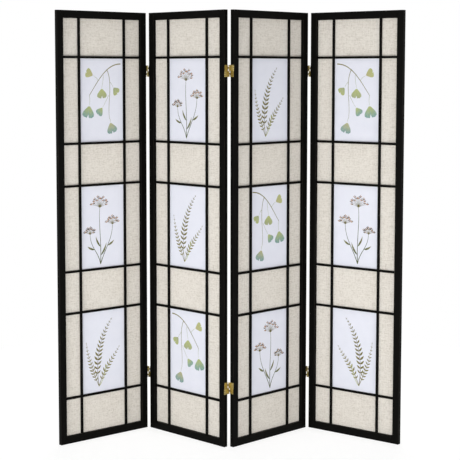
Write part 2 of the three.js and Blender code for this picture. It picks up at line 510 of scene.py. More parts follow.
class Bench:
    """The nodes of one material or of the world."""

    def __init__(self, owner: Union[bpy.types.Material, bpy.types.World]) -> None:
        """Clears the owner's nodes."""
        owner.use_nodes = True
        self.owner = owner
        self.tree = owner.node_tree
        self.tree.nodes.clear()

    def node(
        self,
        kind: str,
        settings: Optional[Mapping[str, object]] = None,
        inputs: Optional[Mapping[Key, object]] = None,
        output: Key = 0,
    ) -> Signal:
        """Adds a node.

        Args:
            kind: Blender's name of the node's type.
            settings: The node's own settings, set first.
            inputs: Values, or signals to link, by socket name or number.
            output: Which output to return.

        Returns:
            That output.
        """
        made = self.tree.nodes.new(kind)
        for name, value in (settings or {}).items():
            setattr(made, name, value)
        for key, value in (inputs or {}).items():
            if isinstance(value, Signal):
                self.tree.links.new(value.socket, made.inputs[key])
            else:
                made.inputs[key].default_value = value
        return Signal(self, made.outputs[output] if made.outputs else None)

    def places(self, across: float, along: float) -> Signal:
        """The piece's own UV map in metres, times a number of repeats in each direction."""
        uv = self.node("ShaderNodeUVMap", {"uv_map": UV_NAME})
        repeats = (across, along, 1.0)
        return self.node("ShaderNodeVectorMath", {"operation": "MULTIPLY"}, {0: uv, 1: repeats})

    def noise(self, across: float, along: float, detail: float, roughness: float = 0.5) -> Signal:
        """Soft noise about 0.5, with so many repeats a metre in each direction."""
        return self.node("ShaderNodeTexNoise", {}, {
            "Vector": self.places(across, along),
            "Scale": 1.0,
            "Detail": detail,
            "Roughness": roughness,
        })

    def blend(self, factor: Operand, first: object, second: object) -> Signal:
        """A colour between two colours."""
        ends = [value if isinstance(value, Signal) else (*value, 1.0) for value in (first, second)]
        inputs = {0: factor, 6: ends[0], 7: ends[1]}
        return self.node("ShaderNodeMix", {"data_type": "RGBA"}, inputs, output=2)

    def attribute(self, name: str, output: Key = "Fac") -> Signal:
        """A value that the mesh carries at its points."""
        return self.node("ShaderNodeAttribute", {"attribute_name": name}, output=output)

    def bump(self, height: Signal, strength: float, distance: float) -> Signal:
        """A normal that leans with a height in parts of distance."""
        inputs = {"Height": height, "Strength": strength, "Distance": distance}
        return self.node("ShaderNodeBump", {}, inputs)

    def seen(self) -> Signal:
        """1 on a camera, glossy or transmission ray, and 0 on any other."""
        rays = self.node("ShaderNodeLightPath")
        return rays.larger(rays.output("Is Glossy Ray")).larger(rays.output("Is Transmission Ray"))

    def surface(self, shader: Signal) -> None:
        """Sets the shader as the material's surface or the world's light."""
        kind = "World" if isinstance(self.owner, bpy.types.World) else "Material"
        self.node(f"ShaderNodeOutput{kind}", {}, {"Surface": shader})

    def finished(self, inputs: Mapping[Key, object]) -> bpy.types.Material:
        """Sets a Principled shader with these sockets as the surface, and returns the material."""
        self.surface(self.node("ShaderNodeBsdfPrincipled", {}, inputs))
        return self.owner


# ---- Finishes ----


class Slot(Enum):
    """The record's material slots."""

    LACQUER = "black_lacquer"
    CLOTH = "shade_cloth"
    CARD = "print_card"
    BRASS = "brass"


@dataclass(frozen=True)
class BlackLacquer:
    """Near-black satin lacquer over fine straight grain, rubbed thin on the arrises, where a lighter
    colour also paints a highlight.
    """

    film: Colour = (0.0027, 0.0027, 0.0024)
    pore: Colour = (0.0044, 0.0041, 0.0035)
    # Lighter brown on the arrises: rubbed wear, and also a painted highlight along the edges.
    rubbed_and_highlight: Colour = (0.0300, 0.0220, 0.0150)
    sheen_level: float = 0.026

    def material(self) -> bpy.types.Material:
        """Pores run lengthwise as noise stretched 40 times, under an even orange-peel ripple."""
        bench = Bench(bpy.data.materials.new("black lacquer"))
        pores = bench.noise(1100.0, 26.0, 3.0)
        bands = bench.noise(70.0, 3.0, 2.0)
        ripple = bench.noise(420.0, 420.0, 1.0)
        patches = bench.noise(30.0, 9.0, 3.0)
        # Rubbed wear in patches on the arrises, which also paints a highlight along them.
        rubbed_and_highlight = ((bench.attribute(WEAR_AND_HIGHLIGHT_NAME) * 0.8 + patches * 1.2 - 1.32) * 5.0).clipped()
        ground = bench.blend((pores * 0.7 + bands * 0.6 - 0.15).clipped(), self.film, self.pore)
        return bench.finished({
            "Base Color": bench.blend(rubbed_and_highlight * 0.55, ground, self.rubbed_and_highlight),
            "Roughness": 0.34 + ripple * 0.10 + pores * 0.08,
            "Specular IOR Level": self.sheen_level,
            "Normal": bench.bump(pores * 0.6 + ripple * 0.5, 0.25, 0.0002),
        })


@dataclass(frozen=True)
class ShadeCloth:
    """Warm off-white cloth of plain weave, its yarns thick and thin, with painted shade in the hollows
    between them.
    """

    yarn: Colour = (0.735, 0.697, 0.637)
    # Dark end: random darker yarn tone, and painted shade in the weave's hollows.
    hollow_shade_and_dark_yarn: Colour = (0.513, 0.471, 0.407)
    pitch: float = 0.0009

    def material(self) -> bpy.types.Material:
        """Two sets of yarns as sine waves, each swelling and thinning along its own length, with
        streaks some millimetres wide where thicker yarns lie together, and small nubs. The colour is
        darker where the yarns dip, a painted shade in the weave's hollows."""
        bench = Bench(bpy.data.materials.new("shade cloth"))
        turns = 2 * math.pi / self.pitch
        spot = bench.node("ShaderNodeSeparateXYZ", {}, {0: bench.places(turns, turns)})
        slub_up = bench.noise(1.0 / self.pitch, 14.0, 2.0)
        slub_across = bench.noise(11.0, 1.0 / self.pitch, 2.0)
        cloudy = bench.noise(7.0, 5.0, 3.0)
        streaks = bench.noise(24.0, 190.0, 3.0) * 1.3 + bench.noise(210.0, 17.0, 3.0) * 1.0
        nubs = bench.noise(85.0, 260.0, 2.0, 0.65) * 1.8 + bench.noise(260.0, 75.0, 2.0, 0.65) * 1.5
        warp = spot.wave() * 0.5 + slub_up * 1.1
        weft = spot.output("Y").wave() * 0.5 + slub_across * 1.3
        relief = warp.larger(weft)
        uneven = cloudy * 0.35 + slub_across * 0.25 + slub_up * 0.2 + streaks + nubs
        # Lower relief darkens the colour, a painted shade in the weave's hollows, over random thick and
        # thin yarn tone.
        light = (relief * 0.62 + uneven - 2.92).clipped()
        return bench.finished({
            "Base Color": bench.blend(light, self.hollow_shade_and_dark_yarn, self.yarn),
            "Roughness": 0.93 - relief * 0.06,
            "Specular IOR Level": 0.12,
            "Sheen Weight": 0.04,
            "Normal": bench.bump(relief, 0.3, 0.0002),
        })


@dataclass(frozen=True)
class PrintCard:
    """Cool white card with short fibres pressed into it."""

    sheet: Colour = (0.738, 0.749, 0.822)
    fibre: Colour = (0.653, 0.670, 0.749)

    def material(self) -> bpy.types.Material:
        """Fibres are thin ridges where two stretched noises cross their middle value."""
        bench = Bench(bpy.data.materials.new("print card"))
        drift = bench.noise(900.0, 900.0, 2.0)
        fibres = bench.noise(220.0, 900.0, 3.0)
        strands = bench.noise(900.0, 180.0, 3.0)
        cloudy = bench.noise(24.0, 24.0, 4.0)
        ridges = ((fibres * 1.2 + strands * 1.2 - 1.3) * 6.0).clipped()
        tone = (ridges * 0.45 + cloudy * 0.7 - 0.15).clipped()
        return bench.finished({
            "Base Color": bench.blend(tone, self.sheet, self.fibre),
            "Roughness": 0.78 + drift * 0.12,
            "Specular IOR Level": 0.2,
            "Normal": bench.bump(drift * 0.4 + ridges * 0.3, 0.2, 0.0001),
        })


@dataclass(frozen=True)
class WashedInk:
    """Water-thin ink of the design's own tints, paler where the wash ran dry."""

    dry: Colour = (0.560, 0.575, 0.470)

    def material(self) -> bpy.types.Material:
        """The tint at each point, mixed with the dry tone by a blotchy noise."""
        bench = Bench(bpy.data.materials.new("washed ink"))
        blots = bench.noise(160.0, 110.0, 4.0, 0.6)
        speck = bench.noise(1500.0, 1500.0, 1.0)
        thin = ((blots - 0.48) * 3.2 + speck * 0.2).clipped()
        return bench.finished({
            "Base Color": bench.blend(thin * 0.35, bench.attribute(TINT_NAME, "Color"), self.dry),
            "Roughness": 0.62 + speck * 0.2,
            "Specular IOR Level": 0.2,
            "Normal": bench.bump(speck, 0.15, 0.0001),
        })


@dataclass(frozen=True)
class Brass:
    """Rolled yellow brass, brushed lengthwise and a little tarnished away from its edges."""

    bright: Colour = (0.500, 0.400, 0.150)
    tarnish: Colour = (0.085, 0.062, 0.022)

    def material(self) -> bpy.types.Material:
        """Brush lines are noise stretched 60 times, and tarnish is a soft noise off the edges."""
        bench = Bench(bpy.data.materials.new("brass"))
        lines = bench.noise(9000.0, 150.0, 2.0)
        clouds = bench.noise(230.0, 230.0, 4.0, 0.6)
        dull = ((clouds * 1.5 - bench.attribute(WEAR_AND_HIGHLIGHT_NAME) * 0.35 - 0.39) * 3.0).clipped()
        return bench.finished({
            "Base Color": bench.blend(dull, self.bright, self.tarnish),
            "Metallic": 1.0,
            "Roughness": 0.24 + dull * 0.18 + lines * 0.08,
            "Normal": bench.bump(lines, 0.12, 0.00005),
        })


# ---- Making pieces ----


def poured(parts: Sequence[Array]) -> NDArray[np.float32]:
    """The numbers of several arrays in one row, as a mesh takes them."""
    return np.concatenate(parts).astype(np.float32).reshape(-1)


def stood(name: str, data: bpy.types.ID) -> bpy.types.Object:
    """A new object of that data in the scene."""
    made = bpy.data.objects.new(name, data)
    bpy.context.scene.collection.objects.link(made)
    return made


@dataclass
class Workshop:
    """Makes named pieces from shells, and gives each its finish, body and slot."""

    finishes: Mapping[Slot, bpy.types.Material]
    made: int = 0

    def make(
        self,
        name: str,
        shells: Sequence[Shell],
        place: PanelPlace,
        slot: Slot,
        stands_for: Sequence[str] = (),
        finish: Optional[bpy.types.Material] = None,
    ) -> bpy.types.Object:
        """Makes one piece.

        Args:
            name: The piece's name.
            shells: Its closed surfaces, in the panel's own frame.
            place: The panel that it stands in and rides on.
            slot: The material slot that it takes its finish from.
            stands_for: The CAD nodes that it replaces.
            finish: A material other than the slot's.

        Returns:
            The piece's object.
        """
        points, places, wear_and_highlight, tint = [], [], [], []
        faces: list = []
        start = 0
        for shell in shells:
            own, own_faces, own_places, kept = weld(shell)
            points.append(place.to_world(own))
            faces += [[start + corner for corner in face] for face in own_faces]
            places.append(own_places)
            wear_and_highlight.append(shell.wear_and_highlight[kept])
            tint.append(np.insert(shell.tint[kept], 3, 1.0, axis=1))
            start += len(own)
        mesh = bpy.data.meshes.new(name)
        mesh.from_pydata(np.concatenate(points), [], faces)
        mesh.uv_layers.new(name=UV_NAME).data.foreach_set("uv", poured(places))
        for label, kind, key, values in (
            (WEAR_AND_HIGHLIGHT_NAME, "FLOAT", "value", wear_and_highlight),
            (TINT_NAME, "FLOAT_COLOR", "color", tint),
        ):
            mesh.attributes.new(label, kind, "POINT").data.foreach_set(key, poured(values))
        mesh.shade_smooth()
        mesh.set_sharp_from_angle(angle=SHARP_ANGLE)
        mesh.materials.append(finish or self.finishes[slot])
        piece = stood(name, mesh)
        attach(piece, place.body)
        if stands_for:
            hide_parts(*stands_for)
        self.made += 1
        log.info("%s: %d faces", name, len(faces))
        return piece


# ---- Wooden members ----


@dataclass(frozen=True)
class Pocket:
    """A cut into a member's inner edge: its depth, and its start and end from the front."""

    depth: float
    low: float
    high: float

    def closed(self) -> Pocket:
        """The same pocket with no depth."""
        return Pocket(0.0, self.low, self.high)


@dataclass(frozen=True)
class Station:
    """One cross-section of a member: its place along it, and what is cut there."""

    at: float
    inset: float
    pocket: Pocket
    groove: Pocket

    def mirrored(self, length: float) -> Station:
        """The same cross-section as far from the member's other end."""
        return replace(self, at=length - self.at)


def stepped(low: float, high: float, shut: Pocket, cut: Pocket, groove: Pocket) -> Sequence[Station]:
    """Four stations that step square into a cut at its low end and out of it at its high end."""
    ends = ((low, shut), (low, cut), (high, cut), (high, shut))
    return [Station(at, 0.0, pocket, groove) for at, pocket in ends]


@dataclass(frozen=True)
class Member:
    """A straight wooden member with rounded arrises.

    Its cross-section has one value from the outer edge to the inner edge and one from the front to
    the back. Its start, and its directions across and along, are in the panel's own frame.
    """

    start: Triple
    across: Triple
    along: Triple
    width: float
    depth: float
    arris: float
    front: float = 0.0

    def outline(self, station: Station) -> Tuple[Array, Array]:
        """The cross-section at a station.

        Each corner is a quarter circle, with a point on each flat beside it that keeps the flat's
        shading even. The inner edge steps in at the pocket and at the groove. An inset draws the
        whole outline in about its middle, in proportion to its size.

        Args:
            station: What is cut at this place.

        Returns:
            The outline's points, (n, 2), and the wear at each, which on the lacquer also places a
            painted highlight.
        """
        w, d, r = self.width, self.depth, self.arris
        turn = np.linspace(0, QUARTER, 5)
        arc = np.stack([np.sin(turn), 1 - np.cos(turn)], axis=1) * r
        guard = 0.25 * r
        corner = np.concatenate([[(-guard, 0.0)], arc, [(r, r + guard)]])
        # Most wear on the arris arcs: rubbing, and on the lacquer also a painted highlight.
        rub_and_highlight = np.concatenate([[0.0], 0.3 + 0.7 * np.sin(np.linspace(0, math.pi, 5)), [0.0]])
        notches = [
            (w - depth, place)
            for cut in (station.pocket, station.groove)
            for depth, place in zip((0, cut.depth, cut.depth, 0), np.repeat((cut.low, cut.high), 2))
        ]
        front_inner = corner + (w - r, 0.0)
        back_inner = np.stack([w - corner[:, 1], d - r + corner[:, 0]], axis=1)
        back_outer = np.stack([r - corner[:, 0], d - corner[:, 1]], axis=1)
        front_outer = np.stack([corner[:, 1], r - corner[:, 0]], axis=1)
        middle = [(0.0, d / 2)]
        loop = np.concatenate([front_inner, notches, back_inner, back_outer, middle, front_outer])
        wear_and_highlight = np.concatenate([rub_and_highlight, np.full(8, 0.2), rub_and_highlight, rub_and_highlight, [0.0], rub_and_highlight])
        half = np.array([w, d]) / 2
        return half + (loop - half) * (1 - station.inset / half), wear_and_highlight

    def shell(
        self,
        stations: Sequence[Station],
        lap: Sequence[Pair] = (),
        shift: Pair = (0.0, 0.0),
    ) -> Shell:
        """The member's surface: its outlines joined along its length.

        Args:
            stations: The cross-sections in order. Two at one place make a square step.
            lap: For each station, the lowest and highest depth that the outline is held to.
            shift: Moves the grain on this member.

        Returns:
            The member's shell in the panel's own frame.
        """
        drawn = [self.outline(station) for station in stations]
        flat = np.stack([points for points, _ in drawn])
        if len(lap):
            limits = np.array(lap)
            flat[..., 1] = np.clip(flat[..., 1], limits[:, :1], limits[:, 1:2])
        wear_and_highlight = np.stack([rub_and_highlight for _, rub_and_highlight in drawn])
        along = np.array([station.at for station in stations])
        grid = (
            np.array(self.start)
            + flat[..., :1] * np.array(self.across)
            + (flat[..., 1:] + self.front) * np.array(BACK)
            + along[:, None, None] * np.array(self.along)
        )
        places = np.stack(np.meshgrid(around(flat[0]), along), axis=2) + shift
        return skin(grid, places, wear_and_highlight)


def eased_end(radius: float) -> Sequence[Pair]:
    """Places and insets of a rounded start: place r (1 - cos t), inset r (1 - sin t)."""
    turn = np.linspace(0, QUARTER, 4)
    return list(zip(radius * (1 - np.cos(turn)), radius * (1 - np.sin(turn))))


# ---- Designs on the cards ----


class Design(Enum):
    """The line designs, all of them made up for this screen."""

    FERN = "fern fronds"
    FANS = "fan leaves on a hanging branch"
    SEEDS = "seed heads on tall stalks"


@dataclass(frozen=True)
class Brush:
    """Draws closed, thin strokes on a card, in card coordinates: across, up, and height off it."""

    rise: float = 0.00009
    bite: float = 0.00005
    weight: float = 2.0

    def heights(self, shares: Array) -> Array:
        """Heights off the card, from the stroke's flat back at 0 to its crest at 1."""
        return shares * (self.rise + self.bite) - self.bite

    def stroke(
        self, path: Array, widths: Array, tint: Union[Colour, Array], rib: bool = False
    ) -> Shell:
        """A stroke along a path.

        The cross-section is a low hump, its back flat and a little inside the card. With a rib it
        has a crease along its middle. Each row stands square to the path.

        Args:
            path: Points of the stroke's middle line, (n, 2).
            widths: Half width at each point.
            tint: Its colour, or the colour at each point, (n, 3).
            rib: Whether the stroke is creased like a leaf.

        Returns:
            The stroke in card coordinates.
        """
        crease = [(0.0, 0.45)] if rib else []
        back = ((-1.0, 0.0), (1.0, 0.0))
        rising, falling = ((0.8, 0.6), (0.3, 1.0)), ((-0.3, 1.0), (-0.8, 0.6))
        ring = np.array([*back, *rising, *crease, *falling])
        flat = path[:, None] + ring[:, :1] * (leftward(path) * widths[:, None])[:, None]
        height = np.broadcast_to(self.heights(ring[:, 1:]), (*flat.shape[:2], 1))
        grid = np.concatenate([flat, height], axis=2)
        return skin(grid, ringed(flat), 0.0, np.reshape(tint, (-1, 1, 3)))

    def leaf(
        self, base: Array, heading: float, length: float, width: float, bend: float,
        tint: Colour, tip: Colour,
    ) -> Shell:
        """A pointed leaf: half width w sin(pi s^0.8), on an arc that turns by bend from its base."""
        s = np.linspace(0.0, 1.0, 7)
        steps = compass(heading + bend * s) * (length / 6)
        path = base + np.concatenate([[(0.0, 0.0)], np.cumsum(steps[:-1], axis=0)])
        half = width * 0.62 * (np.sin(math.pi * s**0.8) + 0.04)
        colours = np.array(tint) + s[:, None] * (np.array(tip) - np.array(tint))
        return self.stroke(path, half, colours, rib=True)

    def stem(self, points: Array, thick: float, thin: float, tint: Colour, count: int = 18) -> Shell:
        """A tapering stem on the curve of three or four points."""
        s = np.linspace(0.0, 1.0, count)
        return self.stroke(self.curve(points, s), (thick + (thin - thick) * s) * self.weight / 2, tint)

    def curve(self, points: Array, at: Array) -> Array:
        """Points on the Bernstein curve of some points: the sum of C(n, k) s^k (1 - s)^(n - k) pk."""
        s, order = at[:, None], len(points) - 1
        terms = [math.comb(order, k) * s**k * (1 - s) ** (order - k) for k in range(order + 1)]
        return np.concatenate(terms, axis=1) @ points

    def dot(self, centre: Array, radius: float, tint: Colour) -> Shell:
        """A seed: a low dome, height (1 - r^2)^0.5, closed by a pole at its top and one at its back."""
        around_it = compass(np.linspace(0, 2 * math.pi, 9)[:-1])
        radii = np.array([0.0, 1.0, 0.8, 0.45, 0.0])[:, None, None]
        rises = np.array([0.0, 0.0, 0.6, 0.9, 1.0])[:, None, None]
        flat = centre + radius * radii * around_it[None]
        height = np.broadcast_to(self.heights(rises), (*flat.shape[:2], 1))
        return skin(np.concatenate([flat, height], axis=2), ringed(flat), 0.0, tint, capped=False)

    def fan(
        self, base: Array, heading: float, size: float, spread: float,
        root: Colour, rim: Colour, cleft: float,
    ) -> Shell:
        """A fan leaf: radius R(t) from its base, t from -1 to 1 across its spread.

        R(t) = size (1 - 0.10 t^2) less a cleft at the middle and a fine scallop. Its front is ribbed
        by a cosine of t, and meets its flat back all round the rim.
        """
        t = np.linspace(-1.0, 1.0, 19)
        r = np.linspace(0.0, 1.0, 7)[:, None]
        notch = cleft * np.exp(-((t / 0.09) ** 2)) + 0.045 * np.cos(t * 17) ** 2
        reach = size * (1 - 0.10 * t**2 - notch)
        flat = base + (r * reach)[..., None] * compass(heading + t * spread)
        hump = (1 - t**2) ** 0.4 * (1 - r**6) ** 0.5 * (r > 0) * (0.62 + 0.38 * np.cos(t * 34) ** 2)
        under, front = (
            np.concatenate([flat, self.heights(share)[..., None]], axis=2) for share in (hump * 0, hump)
        )
        grid = np.concatenate([under, front[:, ::-1]], axis=1)
        share = np.clip(r**1.4 + 0.30 * r * np.cos(t * 23), 0.0, 1.0)
        share = np.concatenate([share, share[:, ::-1]], axis=1)[..., None]
        colours = np.array(root) + share * (np.array(rim) - np.array(root))
        return skin(grid, ringed(grid)[..., :2], 0.0, colours, capped=False)


@dataclass(frozen=True)
class Botany:
    """Composes the designs on a card, within its clear window."""

    brush: Brush = field(default_factory=Brush)
    moss: Colour = (0.110, 0.090, 0.012)
    olive: Colour = (0.170, 0.150, 0.030)
    lime: Colour = (0.400, 0.440, 0.160)
    teal: Colour = (0.120, 0.290, 0.330)
    straw: Colour = (0.430, 0.400, 0.200)
    sage: Colour = (0.310, 0.350, 0.200)
    rust: Colour = (0.340, 0.125, 0.035)
    amber: Colour = (0.400, 0.180, 0.045)
    umber: Colour = (0.050, 0.030, 0.018)
    pine: Colour = (0.055, 0.075, 0.018)

    def drawn(self, design: Design, turned: bool) -> Sequence[Shell]:
        """The strokes of a design, mirrored from left to right if turned."""
        shells = {Design.FERN: self.ferns, Design.FANS: self.fans, Design.SEEDS: self.seeds}[design]()
        side = np.array((-1.0 if turned else 1.0, 1.0, 1.0))
        return [shell.carried(shell.points * side) for shell in shells]

    def frond(self, points: Array, pairs: int, longest: float, tint: Colour) -> Sequence[Shell]:
        """One frond: a curved rib with pairs of leaflets, the longest a third of the way up."""
        s = np.linspace(0.16, 0.97, pairs)
        spots = self.brush.curve(points, s)
        ahead = self.brush.curve(points, s + 0.01) - spots
        headings = np.arctan2(ahead[:, 1], ahead[:, 0])
        lengths = longest * (np.minimum(s / 0.34, 1.0) ** 0.6) * (1.04 - s) ** 0.7
        shapes = [
            (spot, heading + side * 1.05, length, length * 0.30, -side * 0.45)
            for spot, heading, length in zip(spots, headings, lengths)
            for side in (-1, 1)
        ]
        leaflets = [self.brush.leaf(*shape, tint, self.olive) for shape in shapes]
        return [self.brush.stem(points, 0.0016, 0.0005, tint), *leaflets]

    def ferns(self) -> Sequence[Shell]:
        """Three fronds that rise from one root and lean apart, and a curled young one."""
        root = np.array((-0.022, -0.150))
        tall = np.array([root, (-0.045, -0.030), (-0.010, 0.070), (0.046, 0.136)])
        right = np.array([root, (0.000, -0.080), (0.052, -0.040), (0.084, 0.012)])
        left = np.array([root, (-0.050, -0.090), (-0.078, -0.030), (-0.086, 0.046)])
        angle = np.linspace(0.0, 4.6, 22)
        curl = (0.026, -0.062) + 0.012 * np.exp(-angle / 3.2)[:, None] * compass(angle + 3.1)
        young = self.brush.stroke(curl, np.linspace(0.0011, 0.0004, 22), self.lime)
        bends = np.array([root, (0.004, -0.120), (0.010, -0.090), curl[0]])
        stalk = self.brush.stem(bends, 0.0014, 0.0022, self.lime)
        return [
            *self.frond(tall, 15, 0.034, self.moss),
            *self.frond(right, 11, 0.027, self.olive),
            *self.frond(left, 12, 0.025, self.olive),
            young,
            stalk,
        ]

    def fans(self) -> Sequence[Shell]:
        """A branch that hangs from the upper right, with fan leaves on long stalks."""
        branch = np.array([(0.098, 0.150), (0.030, 0.150), (-0.010, 0.090), (-0.060, 0.020)])
        twig = np.array([(0.028, 0.128), (0.060, 0.070), (0.030, -0.010), (0.040, -0.075)])
        leaves = (
            ((-0.060, 0.020), (-0.060, -0.020), 4.55, 0.062, 0.84, self.lime, self.teal, 0.30),
            ((-0.014, 0.080), (-0.040, 0.102), 2.75, 0.046, 0.76, self.straw, self.lime, 0.16),
            ((0.010, 0.104), (0.002, 0.050), 4.75, 0.050, 0.88, self.lime, self.sage, 0.28),
            ((0.040, -0.075), (0.044, -0.092), 5.00, 0.056, 0.82, self.straw, self.teal, 0.24),
            ((0.036, 0.020), (0.006, -0.030), 4.05, 0.044, 0.74, self.lime, self.teal, 0.12),
            ((0.042, 0.076), (0.060, 0.052), 5.45, 0.040, 0.84, self.sage, self.lime, 0.20),
        )
        middles = [(np.array(start) + np.array(end)) / 2 + (0.004, 0.002) for start, end, *_ in leaves]
        return [
            self.brush.stem(branch, 0.0026, 0.0012, self.olive),
            self.brush.stem(twig, 0.0016, 0.0008, self.olive),
            *(
                self.brush.stem(np.array([start, middle, end]), 0.0010, 0.0006, self.sage, 8)
                for middle, (start, end, *_) in zip(middles, leaves)
            ),
            *(self.brush.fan(np.array(end), *shape) for _, end, *shape in leaves),
        ]

    def seeds(self) -> Sequence[Shell]:
        """Three stalks, each with an open round head of rays that end in seeds, and narrow leaves."""
        foot = (0.010, -0.158)
        heads = (
            ((foot, (0.004, -0.060), (0.020, 0.020), (0.012, 0.080)), 0.046, 13, self.rust),
            ((foot, (-0.014, -0.090), (-0.050, -0.060), (-0.052, 0.006)), 0.034, 11, self.amber),
            ((foot, (0.022, -0.100), (0.060, -0.090), (0.062, -0.030)), 0.028, 10, self.umber),
        )
        cluster = ((0.0, 0.0), (0.0044, 0.0016), (-0.0042, 0.0022), (0.0006, 0.0058))
        shells = []
        for points, reach, rays, tint in heads:
            shells.append(self.brush.stem(np.array(points), 0.0020, 0.0010, self.pine))
            crown = np.array(points[-1])
            away = compass(QUARTER + np.linspace(-1.25, 1.25, rays))
            length = reach * (0.86 + 0.14 * np.cos(np.arange(rays) * 2.4))[:, None]
            tips = crown + length * away
            bends = crown + 0.5 * length * (away * (0.7, 1.0) + (0.0, 0.15))
            shells += [
                self.brush.stem(np.array([crown, bend, tip]), 0.0009, 0.0006, self.moss, 6)
                for bend, tip in zip(bends, tips)
            ]
            tints = (tint, self.umber, self.amber, self.umber)
            shells += [
                self.brush.dot(tip + spot, 0.0031 - 0.0003 * k, tints[(k + ray) % 4])
                for ray, tip in enumerate(tips)
                for k, spot in enumerate(cluster)
            ]
        for stalk, share, lean, length in (
            (0, 0.13, 0.75, 0.060),
            (0, 0.26, -0.70, 0.052),
            (1, 0.46, 0.80, 0.040),
            (2, 0.50, -0.85, 0.040),
        ):
            base, ahead = self.brush.curve(np.array(heads[stalk][0]), np.array([share, share + 0.01]))
            heading = math.atan2(*(ahead - base)[::-1]) + lean
            leaf = self.brush.leaf(base, heading, length, 0.0074, -0.8 * lean, self.pine, self.olive)
            shells.append(leaf)
        return shells


# ---- Panels ----


@dataclass
class Panel:
    """One panel: two stiles, two rails, eight lattice bars, a shade, and three printed cards."""

    place: PanelPlace
    sizes: Sizes
    shop: Workshop
    ink: bpy.types.Material
    designs: Tuple[Design, Design, Design]
    frame_arris: float = 0.0016
    bar_arris: float = 0.0008
    foot_round: float = 0.0011
    tenon_edge: float = 0.0004
    tenon_root: float = 0.003
    shade_swell: float = 0.0007
    card_swell: float = 0.00025

    def named(self, piece: str) -> str:
        """The name of one of this panel's pieces or nodes."""
        return f"panel_{self.place.number}_{piece}"

    def build(self) -> None:
        """Builds every piece of the panel."""
        self.build_stiles()
        self.build_rails()
        self.build_lattice()
        self.build_shade()
        self.build_prints()

    @property
    def bar_pocket(self) -> Pocket:
        """The housing that takes a bar's end."""
        s = self.sizes
        return Pocket(s.bar_housing + s.gap, s.bar_recess - s.gap, s.lattice_back + s.gap)

    @property
    def shade_groove(self) -> Pocket:
        """The groove that holds the shade."""
        s = self.sizes
        return Pocket(s.groove_depth, s.shade_front - s.gap, s.shade_back + s.gap)

    def lacquered(self, piece: str, shells: Sequence[Shell], node: str) -> None:
        """Makes one lacquered piece that stands for a node."""
        self.shop.make(self.named(piece), shells, self.place, Slot.LACQUER, [self.named(node)])

    def housings(self, centres: Sequence[float], groove: Pocket) -> Sequence[Station]:
        """Four stations at each housing: square steps in at its start and out at its end."""
        half = self.sizes.bar_width / 2 + self.sizes.gap
        pocket = self.bar_pocket
        shut = pocket.closed()
        steps = [stepped(centre - half, centre + half, shut, pocket, groove) for centre in centres]
        return [station for four in steps for station in four]

    def build_stiles(self) -> None:
        """The stiles: blind mortises at both ends, six housings, and the groove between the rails."""
        s, groove = self.sizes, self.shade_groove
        middle, half = s.thickness / 2, s.tenon_thickness / 2 + s.gap
        mortise = Pocket(s.tenon_length + s.gap, middle - half, middle + half)
        shut, plain = mortise.closed(), groove.closed()
        low, high = s.tenon_shoulder - s.gap, s.rail_width - s.tenon_shoulder + s.gap
        start = s.rail_width - s.groove_depth
        foot = [
            *(Station(at, inset, shut, plain) for at, inset in eased_end(self.foot_round)),
            *stepped(low, high, shut, mortise, plain),
            Station(start, 0.0, shut, plain),
            Station(start, 0.0, shut, groove),
        ]
        head = [station.mirrored(s.panel_height) for station in reversed(foot)]
        stations = [*foot, *self.housings(s.cross_centres, groove), *head]
        number = self.place.number
        for side, inward, x, turn in (("left", 1.0, 0.0, 0.0), ("right", -1.0, s.panel_width, 0.12)):
            across = (inward, 0.0, 0.0)
            section = (s.stile_width, s.thickness, self.frame_arris)
            member = Member((x, 0.0, 0.0), across, UP, *section)
            shell = member.shell(stations, shift=(0.31 * number + turn, 0.07 * number))
            self.lacquered(f"{side}_stile_wood", [shell], f"{side}_stile")

    def build_rails(self) -> None:
        """The rails: stub tenons, two housings, and the groove from end to end."""
        s, groove = self.sizes, self.shade_groove
        shut = self.bar_pocket.closed()
        ends = (s.stile_width + s.gap, s.panel_width - s.stile_width - s.gap)
        stations = [
            Station(ends[0], 0.0, shut, groove),
            *self.housings(s.upright_centres, groove),
            Station(ends[1], 0.0, shut, groove),
        ]
        middle, half = s.thickness / 2, s.tenon_thickness / 2
        reach = s.tenon_length + s.gap
        root = self.tenon_root
        spans = ((ends[0] - reach, ends[0] + root), (ends[1] - root, ends[1] + reach))
        for side, inward, z, turn in (("bottom", 1.0, 0.0, 0.0), ("top", -1.0, s.panel_height, 0.5)):
            across = (0.0, 0.0, inward)
            member = Member((0.0, 0.0, z), across, ALONG, s.rail_width, s.thickness, self.frame_arris)
            shoulders = (s.tenon_shoulder, s.rail_width - s.tenon_shoulder)
            low, high = sorted(z + inward * shoulder for shoulder in shoulders)
            edge = self.tenon_edge
            section = rounded_rectangle((middle - half, low), (middle + half, high), edge, 2)
            tenons = [slab(section, *span, edge, (1, 2, 0)) for span in spans]
            rail = member.shell(stations, shift=(0.23 * self.place.number + turn, 0.9))
            self.lacquered(f"{side}_rail_wood", [rail, *tenons], f"{side}_rail")

    def bar(
        self, member: Member, reach: Pair, laps: Sequence[float], front_half: bool, shift: Pair
    ) -> Shell:
        """One bar, halved where it crosses others.

        Args:
            member: The bar's place and section.
            reach: Its two ends.
            laps: Middles of the bars that it crosses.
            front_half: Whether its front half goes through, or its back half.
            shift: Moves the grain on this bar.

        Returns:
            The bar's shell.
        """
        s = self.sizes
        middle, half = s.bar_depth / 2, s.bar_width / 2
        none = Pocket(0.0, middle, middle)
        full, held = (0.0, s.bar_depth), ((0.0, middle) if front_half else (middle, s.bar_depth))
        spots = [(reach[0], full)]
        for lap in laps:
            start, end = lap - half, lap + half
            spots += [(start, full), (start, held), (end, held), (end, full)]
        spots.append((reach[1], full))
        stations = [Station(at, 0.0, none, none) for at, _ in spots]
        return member.shell(stations, [keep for _, keep in spots], shift)

